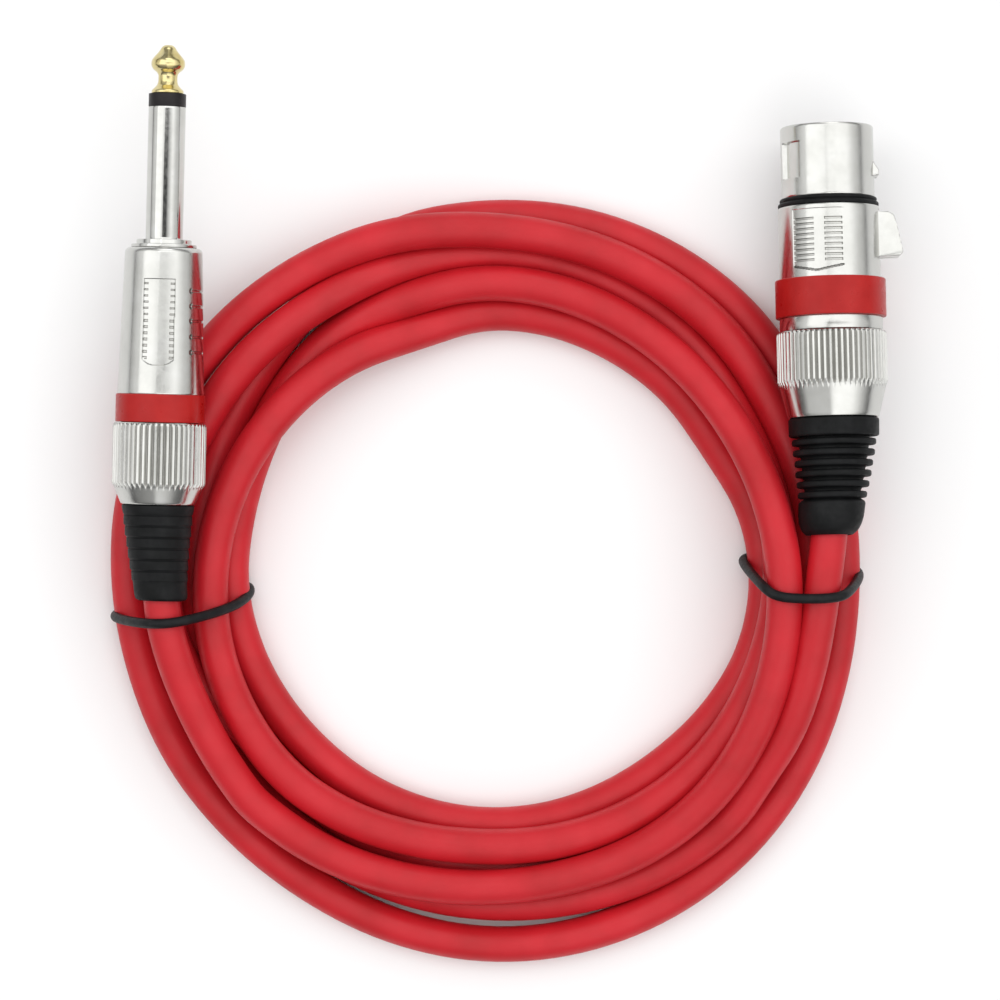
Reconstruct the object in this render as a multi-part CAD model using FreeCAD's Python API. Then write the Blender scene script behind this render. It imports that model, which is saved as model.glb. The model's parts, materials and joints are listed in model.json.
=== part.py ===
import FreeCAD, Part
import math
import os

# A coiled audio lead: female three-pin XLR on the right, 6.35 mm jack on the left, two ties.
# Row frame: origin at the coil's centre on the resting surface, +X right, +Y to the plug tips, +Z up.
# Each connector is drawn on its own axis: local z = 0 is the end of its boot, +z points to its tip,
# local +x is the row's right, and local -y is up.

Vector = FreeCAD.Vector

# ---- driving dimensions, mm ----
CABLE_R = 3.1
TIE_R = 0.85
SLIDE_GAP = 0.07        # round a boot on its cable
RUNNING_GAP = 0.1       # round a nut on its spigot, and between faces that turn past each other
PIN_GAP = 0.06          # round the latch pin

COIL_CENTRE = Vector(1.2, 0.4, 0)
COIL_OUTER_R = 66.0
COIL_HOLE_CENTRE = Vector(2.25, 2.25, 0)
COIL_HOLE_R = 42.3
COIL_HEIGHT = 11.6
COIL_EDGE_R = 3.0
COIL_CLEARANCE = 0.6    # round a connector and the way its nut moves

XLR_BASE = Vector(60.35, 8.1, 16.1)
XLR_LEAN = 1.25         # degrees, towards -X
XLR_TILT = -2.5         # degrees, nose down
XLR_LENGTH = 69.85
XLR_TRAVEL = 3.75       # how far the nut unscrews
XLR_NOSE_R = 7.95
XLR_BODY_R = 8.65
XLR_BORE_R = 6.9
XLR_RING_R = 9.45
XLR_NUT_R = 9.4
XLR_SPIGOT_R = 7.5
XLR_COLLAR_Z = 34.8
XLR_RING_Z = (37.15, 43.65)
XLR_GROOVE_Z = 56.0     # rear wall of the rubber ring's groove
XLR_NOSE_Z = 57.6

SOCKET_COUNT = 3
SOCKET_CIRCLE_R = 4.75
SOCKET_ANGLES = (72, -72, 180)
SOCKET_BORE_R = 1.2
SOCKET_R = 1.85
SOCKET_MOUTH_Z = 68.5
INSERT_FRONT_Z = 69.3

LATCH_PIN_R = 0.45
LATCH_PIN_X = 5.6
LATCH_PIN_Z = 46.6
LATCH_WIDTH = 4.6

JACK_BASE = Vector(-55.74, -3.0, 16.0)
JACK_LEAN = -1.43
JACK_TILT = 1.2         # nose up
JACK_TRAVEL = 2.5
JACK_SLEEVE_R = 3.175
JACK_SHELL_REAR_R = 7.35
JACK_SHELL_FRONT_R = 6.6
JACK_BORE_R = 5.6
JACK_RING_R = 7.6
JACK_NUT_R = 7.95
JACK_SPIGOT_R = 6.6
JACK_RING_Z = 30.35
JACK_SHELL_Z = 35.1
JACK_FRONT_Z = 60.0
JACK_SLEEVE_Z = 61.4
JACK_SLEEVE_FRONT_Z = 84.0
JACK_TIP_Z = 86.2
JACK_LENGTH = 94.5

# Leads, row frame: from the straight end in each connector until they join the coil.
JACK_LEAD = [(-54.7, -19.9, 15.0), (-51.9, -26.6, 13.6), (-46.8, -33.8, 11.6), (-40.3, -39.8, 9.8)]
XLR_LEAD = [(59.9, -9.6, 15.7), (57.6, -17.4, 14.3), (53.0, -24.8, 12.0), (48.6, -31.6, 10.0)]
LEAD_STRAIGHT = 6.0     # the first run of each lead, along its connector's axis


# ---- basic shapes ----
def revolve(outline):
    """A solid of revolution about z, from (radius, z) corners."""
    corners = [Vector(r, 0, z) for r, z in outline]
    face = Part.Face(Part.makePolygon(corners + corners[:1]))
    return face.revolve(Vector(0, 0, 0), Vector(0, 0, 1), 360)


def ring(inner_r, outer_r, z0, z1):
    """A plain tube about z."""
    return revolve([(inner_r, z0), (outer_r, z0), (outer_r, z1), (inner_r, z1)])


def rod(start, end, radius):
    """A round bar from one point to another."""
    along = end - start
    return Part.makeCylinder(radius, along.Length, start, along)


def block(x0, x1, y0, y1, z0, z1):
    """A box between two corners."""
    return Part.makeBox(x1 - x0, y1 - y0, z1 - z0, Vector(x0, y0, z0))


def plate(outline, width):
    """A flat plate across y, from (x, z) corners."""
    corners = [Vector(x, -width / 2, z) for x, z in outline]
    face = Part.Face(Part.makePolygon(corners + corners[:1]))
    return face.extrude(Vector(0, width, 0))


def on_circle(radius, degrees, z=0.0):
    """A point on a circle about z."""
    angle = math.radians(degrees)
    return Vector(radius * math.cos(angle), radius * math.sin(angle), z)


def axis_placement(base, lean, tilt):
    """The placement that takes a connector's own frame to the row frame."""
    lean = math.radians(lean)
    tilt = math.radians(tilt)
    forward = Vector(-math.sin(lean) * math.cos(tilt), math.cos(lean) * math.cos(tilt), math.sin(tilt))
    right = Vector(math.cos(lean), math.sin(lean), 0)
    return FreeCAD.Placement(base, FreeCAD.Rotation(right, forward.cross(right), forward, "ZXY"))


# ---- round bar along a bent route ----
def bend(before, corner, after, radius):
    """Start, middle and end of the arc that rounds a corner."""
    back = (before - corner).normalize()
    onward = (after - corner).normalize()
    half = back.getAngle(onward) / 2
    reach = radius / math.tan(half)
    inward = (back + onward).normalize()
    centre = corner + inward * (radius / math.sin(half))
    return corner + back * reach, centre - inward * radius, corner + onward * reach


def largest_radius(before, corner, after):
    """The radius that uses 0.45 of the shorter run."""
    back = before - corner
    onward = after - corner
    half_turn = (math.pi - back.getAngle(onward)) / 2
    return 0.45 * min(back.Length, onward.Length) / math.tan(half_turn)


def rounded_edges(points, radii, closed=False):
    """Straight runs joined by tangent arcs."""
    count = len(points)
    corners = range(count) if closed else range(1, count - 1)
    arcs = [bend(points[i - 1], points[i], points[(i + 1) % count], radii[i]) for i in corners]
    edges = []
    place = arcs[-1][2] if closed else points[0]
    for start, middle, end in arcs:
        edges.append(Part.LineSegment(place, start).toShape())
        edges.append(Part.Arc(start, middle, end).toShape())
        place = end
    if not closed:
        edges.append(Part.LineSegment(place, points[-1]).toShape())
    return edges


def bar_along(edges, radius):
    """A round bar swept along tangent edges, piece by piece, as one solid."""
    pieces = []
    for edge in edges:
        start = edge.valueAt(edge.FirstParameter)
        tangent = edge.tangentAt(edge.FirstParameter)
        profile = Part.Wire(Part.makeCircle(radius, start, tangent))
        pieces.append(Part.Wire(edge).makePipeShell([profile], True, True))
    return pieces[0].fuse(pieces[1:]).removeSplitter()


def cord_tube(name, points):
    """The cord's tube along a route, with arcs as large as the runs allow."""
    radii = [0.0] * len(points)
    for i in range(1, len(points) - 1):
        radii[i] = largest_radius(points[i - 1], points[i], points[i + 1])
    edges = rounded_edges(points, radii)
    length = sum(edge.Length for edge in edges)
    tube = bar_along(edges, CABLE_R)
    section = math.pi * CABLE_R ** 2
    print(name, "length %.1f" % length, "radii", ["%.0f" % r for r in radii[1:-1]],
          "volume over section times length %.4f" % (tube.Volume / (section * length)))
    return tube


# ---- XLR connector, in its own frame ----
def xlr_shell():
    """Die-cast nose, body, collar and threaded spigot in one piece."""
    shell = revolve([
        (XLR_BORE_R, 26.5), (XLR_SPIGOT_R - 0.3, 26.5), (XLR_SPIGOT_R, 26.8), (XLR_SPIGOT_R, XLR_COLLAR_Z),
        (8.8, XLR_COLLAR_Z), (8.8, XLR_RING_Z[0]), (8.2, XLR_RING_Z[0]), (8.2, XLR_RING_Z[1]),
        (XLR_BODY_R, XLR_RING_Z[1]),
        (XLR_BODY_R, XLR_GROOVE_Z), (7.3, XLR_GROOVE_Z), (7.3, XLR_NOSE_Z), (XLR_NOSE_R, XLR_NOSE_Z),
        (XLR_NOSE_R, XLR_LENGTH - 0.3), (XLR_NOSE_R - 0.3, XLR_LENGTH), (XLR_BORE_R, XLR_LENGTH)])
    tab_window = block(6.0, 10.0, -2.5, 2.5, 46.8, 55.5)
    hook_window = block(6.0, 10.0, -1.7, 1.7, 60.6, 65.2)
    shell = shell.cut([tab_window, hook_window, screw_bar(5.0, 9.0)])
    key_window = block(-2.6, 2.6, -10.0, -(XLR_NOSE_R - 0.8), 60.8, 67.0)
    key_window.rotate(Vector(0, 0, 0), Vector(0, 0, 1), -58)
    return shell.cut(key_window)


def screw_bar(inner_r, outer_r):
    """The space of the insert's retaining screw, on the underside."""
    return rod(on_circle(inner_r, 126, 50.0), on_circle(outer_r, 126, 50.0), 1.25)


def xlr_retaining_screw():
    """A headless screw with a hexagon socket."""
    socket = rod(on_circle(7.4, 126, 50.0), on_circle(9.0, 126, 50.0), 0.6)
    return screw_bar(5.4, 8.3).cut(socket)


def xlr_insert():
    """The plastic body that holds the three sockets, with the latch's channel."""
    insert = revolve([(0, 45.0), (XLR_BORE_R, 45.0), (XLR_BORE_R, INSERT_FRONT_Z), (0, INSERT_FRONT_Z)])
    cuts = [block(4.0, 7.5, -2.5, 2.5, 44.0, 65.6), screw_bar(5.4, 8.3), xlr_latch_pin()]
    for angle in SOCKET_ANGLES:
        for z0, z1, radius in ((44, 56, 1.5), (55, SOCKET_MOUTH_Z, SOCKET_R), (68, 70, 1.3)):
            start = on_circle(SOCKET_CIRCLE_R, angle, z0)
            cuts.append(rod(start, on_circle(SOCKET_CIRCLE_R, angle, z1), radius))
    return insert.cut(cuts)


def xlr_contact(angle):
    """A turned socket with a solder cup behind."""
    contact = revolve([
        (0, 44.2), (0.95, 44.2), (0.95, 41.0), (1.3, 41.0), (1.3, 45.0), (1.5, 45.0), (1.5, 55.0),
        (SOCKET_R, 55.0), (SOCKET_R, SOCKET_MOUTH_Z), (SOCKET_BORE_R, SOCKET_MOUTH_Z),
        (SOCKET_BORE_R, 56.4), (0, 56.4)])
    contact.translate(on_circle(SOCKET_CIRCLE_R, angle))
    return contact


def xlr_o_ring():
    """Rubber ring with two rounded ridges."""
    return revolve([
        (7.3, XLR_GROOVE_Z), (8.4, XLR_GROOVE_Z), (8.6, 56.2), (8.6, 56.6), (8.4, 56.8), (8.1, 56.9),
        (8.3, 57.1), (8.3, 57.4), (8.1, XLR_NOSE_Z), (7.3, XLR_NOSE_Z)])


def xlr_latch():
    """The lever: pivot at the rear, push tab outside the body, hook through the nose."""
    arm = plate([(4.8, 45.7), (6.3, 45.7), (6.3, 64.4), (5.3, 64.4), (5.3, 48.2), (4.8, 47.6)], LATCH_WIDTH)
    tab = plate([(6.2, 47.4), (12.0, 47.4), (12.4, 48.0), (11.9, 50.6), (11.1, 54.0), (10.0, 55.0),
                 (6.2, 55.0)],
                LATCH_WIDTH)
    hook = plate([(6.2, 61.2), (8.6, 61.2), (8.6, 62.2), (7.2, 64.4), (6.2, 64.4)], 2.8)
    lever = arm.fuse([tab, hook]).removeSplitter()
    hole = rod(Vector(LATCH_PIN_X, -4, LATCH_PIN_Z), Vector(LATCH_PIN_X, 4, LATCH_PIN_Z),
               LATCH_PIN_R + PIN_GAP)
    return lever.cut(hole)


def xlr_latch_pin():
    return rod(Vector(LATCH_PIN_X, -3.1, LATCH_PIN_Z), Vector(LATCH_PIN_X, 3.1, LATCH_PIN_Z), LATCH_PIN_R)


def xlr_latch_spring():
    """A leaf spring between the channel's floor and the lever's arm."""
    return plate([(4.0, 49.4), (4.2, 49.4), (4.2, 53.0), (5.28, 60.0), (5.28, 61.0), (5.08, 61.0),
                  (5.08, 60.1), (4.0, 53.1)], 2.4)


def cable_chuck(rear_z, rear_r, seat_z, seat_r, front_z, slot_z):
    """A tapered collet with four slots, which grips the cable."""
    chuck = revolve([(CABLE_R, rear_z), (rear_r, rear_z), (seat_r - 1.0, seat_z), (seat_r, seat_z),
                     (seat_r, front_z), (CABLE_R, front_z)])
    slot = block(-0.5, 0.5, -10, 10, rear_z - 1, slot_z)
    crossed = slot.copy()
    crossed.rotate(Vector(0, 0, 0), Vector(0, 0, 1), 90)
    return chuck.cut([slot, crossed])


def xlr_nut():
    """Tapered nut: a lip behind the boot's flange, and a bore that turns on the spigot."""
    bore_r = XLR_SPIGOT_R + RUNNING_GAP
    return revolve([
        (6.9, 20.0), (7.75, 20.0), (9.15, 25.7), (XLR_NUT_R, 26.2), (XLR_NUT_R, 34.4), (9.1, 34.7),
        (bore_r, 34.7), (bore_r, 23.1), (6.9, 23.1)])


def ribbed_side(first_z, pitch, rib_width, rib_radii, depth):
    """Outline of a row of ribs, from the boot's end forward."""
    side = []
    for i, rib_r in enumerate(rib_radii):
        z = first_z + i * pitch
        side += [(rib_r - depth, z), (rib_r, z), (rib_r, z + rib_width), (rib_r - depth, z + rib_width)]
    return side


def xlr_boot():
    """Rubber strain relief: rounded end, six deep ribs, and a flange held in the nut."""
    bore_r = CABLE_R + SLIDE_GAP
    ribs = ribbed_side(6.3, 1.8, 1.1, [5.9, 6.2, 6.5, 6.7, 7.0, 7.2], 1.2)
    return revolve(
        [(bore_r, 0), (3.7, 0), (4.7, 0.7), (5.35, 1.9), (5.6, 3.2), (5.75, 5.6)] + ribs
        + [(6.1, 16.8), (7.7, 16.8), (7.75, 19.9), (6.8, 19.9), (6.8, 23.2), (7.5, 23.2), (7.5, 25.7),
           (6.3, 25.7), (4.9, 22.0), (bore_r, 15.0)])


def xlr_cores():
    """Two insulated cores, from the cable's end to their solder cups."""
    cores = []
    for angle, side in zip(SOCKET_ANGLES[:2], (1, -1)):
        cup = on_circle(SOCKET_CIRCLE_R, angle, 41.0)
        core = rod(Vector(0.4, 1.2 * side, 32.5), cup, 0.75)
        cores.append(core.cut(xlr_cable_end()))
    return Part.makeCompound(cores)


def xlr_shield_wire():
    cup = on_circle(SOCKET_CIRCLE_R, SOCKET_ANGLES[2], 41.0)
    return rod(Vector(-1.4, 0, 32.5), cup, 0.6).cut(xlr_cable_end())


def xlr_cable_end():
    """The straight end of the cable, through the boot and the chuck."""
    return ring(0, CABLE_R, -3.7, 33.0)


# ---- jack plug, in its own frame ----
def jack_shell():
    """Tapered shell with a threaded spigot at the rear and a recessed panel on top."""
    shell = revolve([
        (JACK_BORE_R, 22.0), (JACK_SPIGOT_R - 0.3, 22.0), (JACK_SPIGOT_R, 22.3), (JACK_SPIGOT_R, JACK_RING_Z),
        (7.0, JACK_RING_Z), (7.0, JACK_SHELL_Z), (JACK_SHELL_REAR_R, JACK_SHELL_Z),
        (JACK_SHELL_FRONT_R, JACK_FRONT_Z - 0.8), (JACK_SHELL_FRONT_R - 0.3, JACK_FRONT_Z - 0.2),
        (JACK_SHELL_FRONT_R - 0.8, JACK_FRONT_Z),
        (5.2, JACK_FRONT_Z), (5.2, 56.0), (JACK_BORE_R, 56.0)])
    panel = block(-2.7, 2.6, -9, -6.7, 40.0, 54.6)
    return shell.cut(panel)


def jack_sleeve():
    """Nickel sleeve, with the stepped base that the shell screws on to."""
    return revolve([
        (2.1, 54.0), (5.2, 54.0), (5.2, JACK_FRONT_Z), (5.6, JACK_FRONT_Z), (5.6, 60.6), (4.7, 60.6),
        (4.7, JACK_SLEEVE_Z), (JACK_SLEEVE_R, JACK_SLEEVE_Z), (JACK_SLEEVE_R, JACK_SLEEVE_FRONT_Z),
        (2.1, JACK_SLEEVE_FRONT_Z)])


def jack_inner_insulator():
    front = JACK_SLEEVE_FRONT_Z
    return revolve([(1.1, 52.6), (3.3, 52.6), (3.3, 54.0), (2.1, 54.0), (2.1, front), (1.1, front)])


def jack_tip():
    """Gilt tip and its rod, riveted behind the lug."""
    nose = [(2.72, JACK_TIP_Z), (2.72, 86.75), (2.3, 87.15), (1.8, 87.7), (1.62, 88.3), (1.62, 89.35),
            (1.85, 89.8), (2.55, 90.35), (2.85, 90.9), (2.88, 91.4), (2.8, 91.9), (2.4, 92.45), (1.9, 93.0),
            (1.4, 93.65), (1.15, 94.1), (0.7, 94.45), (0, JACK_LENGTH)]
    return revolve([(0, 50.9), (1.6, 50.9), (1.6, 51.6), (1.1, 51.6), (1.1, JACK_TIP_Z)] + nose)


def jack_tip_lug():
    """Washer on the rod with a soldering tongue."""
    washer = ring(1.1, 2.6, 51.6, 52.2)
    tongue = block(-1.1, 1.1, 2.0, 2.5, 43.5, 52.2)
    eye = rod(Vector(0, 1, 45.0), Vector(0, 4, 45.0), 0.5)
    return washer.fuse(tongue).cut(eye).removeSplitter()


def jack_sleeve_lug():
    """Ring behind the sleeve's base, its tongue, and the claws that hold the cable."""
    washer = ring(3.4, 5.1, 53.0, 54.0)
    tongue = block(-1.6, 1.6, -4.6, -4.1, 33.0, 54.0)
    claws = ring(CABLE_R, 3.7, 33.0, 35.6)
    bridge = block(-1.6, 1.6, -4.2, -3.3, 33.0, 35.6)
    opening = block(-1.5, 1.5, 0, 6, 32, 37)
    return washer.fuse([tongue, claws, bridge]).cut(opening).cut(jack_cable_end()).removeSplitter()


def jack_cable_end():
    """The straight end of the cable, through the boot and the chuck."""
    return ring(0, CABLE_R, -3.2, 36.0)


def jack_nut():
    bore_r = JACK_SPIGOT_R + RUNNING_GAP
    return revolve([
        (5.6, 16.4), (6.35, 16.4), (7.7, 19.5), (JACK_NUT_R, 19.9), (JACK_NUT_R, 29.95), (7.65, 30.25),
        (bore_r, 30.25), (bore_r, 18.5), (5.6, 18.5)])


def jack_boot():
    """Rubber strain relief: a smooth taper with shallow grooves, and a flange held in the nut."""
    bore_r = CABLE_R + SLIDE_GAP
    ribs = ribbed_side(3.4, 1.9, 1.5, [4.8, 5.0, 5.2, 5.4, 5.65, 5.85], 0.25)
    return revolve(
        [(bore_r, 0), (4.0, 0), (4.4, 0.3), (4.55, 1.0), (4.6, 2.9)] + ribs
        + [(6.0, 14.9), (6.25, 16.3), (5.5, 16.3), (5.5, 18.6), (6.6, 18.6), (6.6, 20.6), (5.4, 20.6),
           (4.4, 18.0), (bore_r, 12.0)])


def jack_core():
    return rod(Vector(0, 0.6, 35.5), Vector(0, 1.2, 45.6), 0.8).cut(jack_cable_end())


def jack_shield_wire():
    return rod(Vector(-0.6, -2.1, 35.5), Vector(-0.6, -3.5, 47.0), 0.6).cut(jack_cable_end())


# ---- the coil and its ties, in the row frame ----
def rounded_disc(centre, radius, height, edge_r):
    disc = Part.makeCylinder(radius, height, centre)
    rims = [edge for edge in disc.Edges if isinstance(edge.Curve, Part.Circle)]
    return disc.makeFillet(edge_r, rims)


def way_of(travel, rear_r, front_r, nut_z, nut_r, length):
    """The space that a boot, its nut and the body in front of them need, in the connector's frame."""
    gap = COIL_CLEARANCE
    rear = -travel - gap
    step = nut_z - travel - gap
    return revolve([(0, rear), (rear_r + gap, rear), (front_r + gap, step), (nut_r + gap, step),
                    (nut_r + gap, length), (0, length)])


def cable_coil(xlr_place, jack_place, ties):
    """The coil's outer shape: a ring of turns, hollowed under the connectors and the ties."""
    disc = rounded_disc(COIL_CENTRE, COIL_OUTER_R, COIL_HEIGHT, COIL_EDGE_R)
    hole = Part.makeCylinder(COIL_HOLE_R, COIL_HEIGHT + 2, COIL_HOLE_CENTRE - Vector(0, 0, 1))
    xlr_way = way_of(XLR_TRAVEL, 5.9, 7.9, 20.0, XLR_RING_R, XLR_LENGTH)
    jack_way = way_of(JACK_TRAVEL, 4.9, 6.6, 16.4, JACK_NUT_R, JACK_LENGTH)
    coil = disc.cut(hole)
    return coil.cut([placed(xlr_way, xlr_place), placed(jack_way, jack_place)] + ties)


def tie(corners, radii, centre_x, middle_y, slope, yaw):
    """A closed round band: (x, z) corners in a plane that leans along y."""
    middle_z = 9.0
    points = [Vector(x, middle_y + slope * (z - middle_z) + yaw * (x - centre_x), z) for x, z in corners]
    return bar_along(rounded_edges(points, radii, closed=True), TIE_R)


def tie_right():
    corners = [(45.2, TIE_R), (65.9, TIE_R), (64.8, 21.6), (47.1, 20.4)]
    return tie(corners, [3.0, 3.0, 4.0, 4.0], 55.0, 2.2, -0.42, -0.1)


def tie_left():
    corners = [(-64.5, TIE_R), (-39.5, TIE_R), (-39.5, 7.0), (-47.0, 18.0), (-52.5, 19.9), (-58.8, 19.9),
               (-64.5, 8.0)]
    return tie(corners, [3.0, 3.0, 3.0, 3.0, 3.5, 3.5, 4.0], -54.0, -4.5, -0.25, 0.12)


def lead(name, place, straight_z, onward):
    """The uncoiled stretch of cable between a connector and the coil."""
    start = place.multVec(Vector(0, 0, straight_z))
    corner = place.multVec(Vector(0, 0, straight_z - LEAD_STRAIGHT))
    return cord_tube(name, [start, corner] + [Vector(*point) for point in onward])


def placed(shape, place):
    """A copy of a connector's piece in the row frame."""
    copy = shape.copy()
    copy.Placement = place.multiply(copy.Placement)
    return copy


def xlr_nodes():
    nodes = {
        "xlr_shell": xlr_shell(),
        "xlr_insert": xlr_insert(),
        "xlr_retaining_screw": xlr_retaining_screw(),
        "xlr_o_ring": xlr_o_ring(),
        "xlr_colour_ring": ring(8.2, XLR_RING_R, *XLR_RING_Z),
        "xlr_latch": xlr_latch(),
        "xlr_latch_pin": xlr_latch_pin(),
        "xlr_latch_spring": xlr_latch_spring(),
        "xlr_chuck": cable_chuck(22.6, 4.2, 26.6, XLR_BORE_R, 33.5, 31.5),
        "xlr_nut": xlr_nut(),
        "xlr_boot": xlr_boot(),
        "xlr_cores": xlr_cores(),
        "xlr_shield_wire": xlr_shield_wire(),
        "xlr_cable_end": xlr_cable_end(),
    }
    for number, angle in enumerate(SOCKET_ANGLES, start=1):
        nodes["xlr_contact_%d" % number] = xlr_contact(angle)
    return nodes


def jack_nodes():
    return {
        "jack_shell": jack_shell(),
        "jack_sleeve": jack_sleeve(),
        "jack_inner_insulator": jack_inner_insulator(),
        "jack_tip": jack_tip(),
        "jack_tip_ring": ring(1.1, JACK_SLEEVE_R, JACK_SLEEVE_FRONT_Z, JACK_TIP_Z),
        "jack_tip_lug": jack_tip_lug(),
        "jack_sleeve_lug": jack_sleeve_lug(),
        "jack_insulating_tube": ring(5.2, 5.5, 37.0, 52.9),
        "jack_colour_ring": ring(7.0, JACK_RING_R, JACK_RING_Z, JACK_SHELL_Z),
        "jack_chuck": cable_chuck(18.4, 3.9, 22.0, JACK_BORE_R, 31.0, 28.0),
        "jack_nut": jack_nut(),
        "jack_boot": jack_boot(),
        "jack_core": jack_core(),
        "jack_shield_wire": jack_shield_wire(),
        "jack_cable_end": jack_cable_end(),
    }


def main():
    xlr_place = axis_placement(XLR_BASE, XLR_LEAN, XLR_TILT)
    jack_place = axis_placement(JACK_BASE, JACK_LEAN, JACK_TILT)
    nodes = {name: placed(shape, xlr_place) for name, shape in xlr_nodes().items()}
    nodes.update({name: placed(shape, jack_place) for name, shape in jack_nodes().items()})
    nodes["tie_right"] = tie_right()
    nodes["tie_left"] = tie_left()
    nodes["cable_coil"] = cable_coil(xlr_place, jack_place, [nodes["tie_right"], nodes["tie_left"]])
    nodes["xlr_lead"] = lead("xlr_lead", xlr_place, -3.7, XLR_LEAD)
    nodes["jack_lead"] = lead("jack_lead", jack_place, -3.2, JACK_LEAD)
    os.makedirs("parts", exist_ok=True)
    for name, shape in sorted(nodes.items()):
        print(name, "valid" if shape.isValid() else "NOT VALID", len(shape.Solids), "%.1f mm3" % shape.Volume)
        shape.exportStep("parts/%s.step" % name)


main()
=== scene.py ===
import json
import math

import bmesh
import bpy
import numpy as np
from mathutils import Matrix, Vector


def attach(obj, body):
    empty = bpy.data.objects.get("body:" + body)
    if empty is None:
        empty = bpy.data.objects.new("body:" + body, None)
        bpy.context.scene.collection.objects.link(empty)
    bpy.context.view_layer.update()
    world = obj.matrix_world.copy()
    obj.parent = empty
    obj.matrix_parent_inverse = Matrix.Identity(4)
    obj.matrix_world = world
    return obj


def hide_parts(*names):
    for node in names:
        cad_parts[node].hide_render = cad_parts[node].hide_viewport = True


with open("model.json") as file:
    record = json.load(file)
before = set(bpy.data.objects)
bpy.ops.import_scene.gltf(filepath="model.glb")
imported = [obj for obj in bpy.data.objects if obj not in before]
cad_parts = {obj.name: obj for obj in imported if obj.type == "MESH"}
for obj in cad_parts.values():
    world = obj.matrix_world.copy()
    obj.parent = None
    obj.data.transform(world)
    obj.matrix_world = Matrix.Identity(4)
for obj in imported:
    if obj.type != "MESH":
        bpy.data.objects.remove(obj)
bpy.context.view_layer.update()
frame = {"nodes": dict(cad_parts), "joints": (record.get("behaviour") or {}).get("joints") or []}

# A coiled audio lead, female XLR to 6.35 mm jack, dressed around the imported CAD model.
# Lengths are in mm here and are scaled to metres when a mesh or curve is made; only the camera,
# the floor and the lights are placed in metres.
# A connector's own frame: z = 0 at the end of its boot, +z to its tip, +x right, -y up.
# "Turn" angles go round that z axis in degrees: 0 is up, 90 is right, -90 is left.

MM = 0.001

CABLE_R = 3.1
TIE_R = 0.85
SHARP_EDGE = 32.0        # degrees between two faces, above which their edge is not smoothed
MERGE = 2e-6             # vertices nearer than this, in metres, become one


# ---- connector frames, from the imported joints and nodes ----
def connector_place(nut_joint, boot_node):
    """The matrix, in mm, that takes a connector's own frame to the row frame."""
    joint = next(j for j in frame["joints"] if j["name"] == nut_joint)
    forward = -Vector(joint["axis"]).normalized()
    on_axis = Vector(joint["pos_m"])
    rear = min((v.co - on_axis).dot(forward) for v in frame["nodes"][boot_node].data.vertices)
    base = (on_axis + forward * rear) / MM
    right = Vector((forward.y, -forward.x, 0)).normalized()
    columns = (right, forward.cross(right), forward)
    rows = [[c[i] for c in columns] + [base[i]] for i in range(3)]
    return Matrix(rows + [[0, 0, 0, 1]])


XLR = connector_place("xlr_nut_turn", "xlr_boot")
JACK = connector_place("jack_nut_turn", "jack_boot")


# ---- meshes ----
def mesh_object(name, bm, sharp=SHARP_EDGE):
    """An object from a bmesh in metres, smooth but for edges sharper than the angle."""
    bmesh.ops.recalc_face_normals(bm, faces=bm.faces)
    limit = math.radians(sharp)
    for face in bm.faces:
        face.smooth = True
    for edge in bm.edges:
        if len(edge.link_faces) == 2 and edge.calc_face_angle(0.0) > limit:
            edge.smooth = False
    mesh = bpy.data.meshes.new(name)
    bm.to_mesh(mesh)
    bm.free()
    piece = bpy.data.objects.new(name, mesh)
    bpy.context.scene.collection.objects.link(piece)
    return piece


SHARE_OF_SIDE = 0.45     # how much of a side one corner's rounding may take
NEARLY_STRAIGHT = 172    # degrees: a flatter corner is left as it is


def eased(outline, amount, steps=3, closed=True):
    """The outline with each corner rounded, as far as its shorter side allows."""
    points = [Vector(p) for p in outline]
    count = len(points)
    smooth = []
    for i, corner in enumerate(points):
        if not closed and i in (0, count - 1):
            smooth.append(corner)
            continue
        back = points[i - 1] - corner
        onward = points[(i + 1) % count] - corner
        reach = min(amount, SHARE_OF_SIDE * back.length, SHARE_OF_SIDE * onward.length)
        if reach < 1e-4 or back.angle(onward) > math.radians(NEARLY_STRAIGHT):
            smooth.append(corner)
            continue
        start = corner + back.normalized() * reach
        end = corner + onward.normalized() * reach
        for k in range(steps + 1):
            t = k / steps
            smooth.append(start * (1 - t) ** 2 + corner * 2 * t * (1 - t) + end * t * t)
    return [(p.x, p.y) for p in smooth]


def add_ring(bm, place, r, z, count, form=None, shift=0.0):
    """A ring of vertices; form(r, z, turn) gives each one's own radius and how much painted shade
    it gets for lying in a groove, and shift moves the ring sideways."""
    # the groove layer holds each vertex's share of painted shade
    layer = bm.verts.layers.float["groove"]
    ring = []
    for k in range(count):
        turn = 360.0 * k / count
        own_r, groove = form(r, z, turn) if form else (r, 0.0)
        a = math.radians(turn)
        spot = Vector((own_r * math.sin(a) + shift, -own_r * math.cos(a), z))
        vertex = bm.verts.new((place @ spot) * MM)
        vertex[layer] = groove
        ring.append(vertex)
    return ring


def braced(outline, reach=0.2):
    """The outline with extra points near the ends of its long runs, to keep their shading straight."""
    rows = []
    for (r, z), (next_r, next_z) in zip(outline, outline[1:] + outline[:1]):
        rows.append((r, z))
        length = math.hypot(next_r - r, next_z - z)
        if length > 5 * reach:
            for t in (reach / length, 1 - reach / length):
                rows.append((r + (next_r - r) * t, z + (next_z - z) * t))
    return rows


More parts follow.
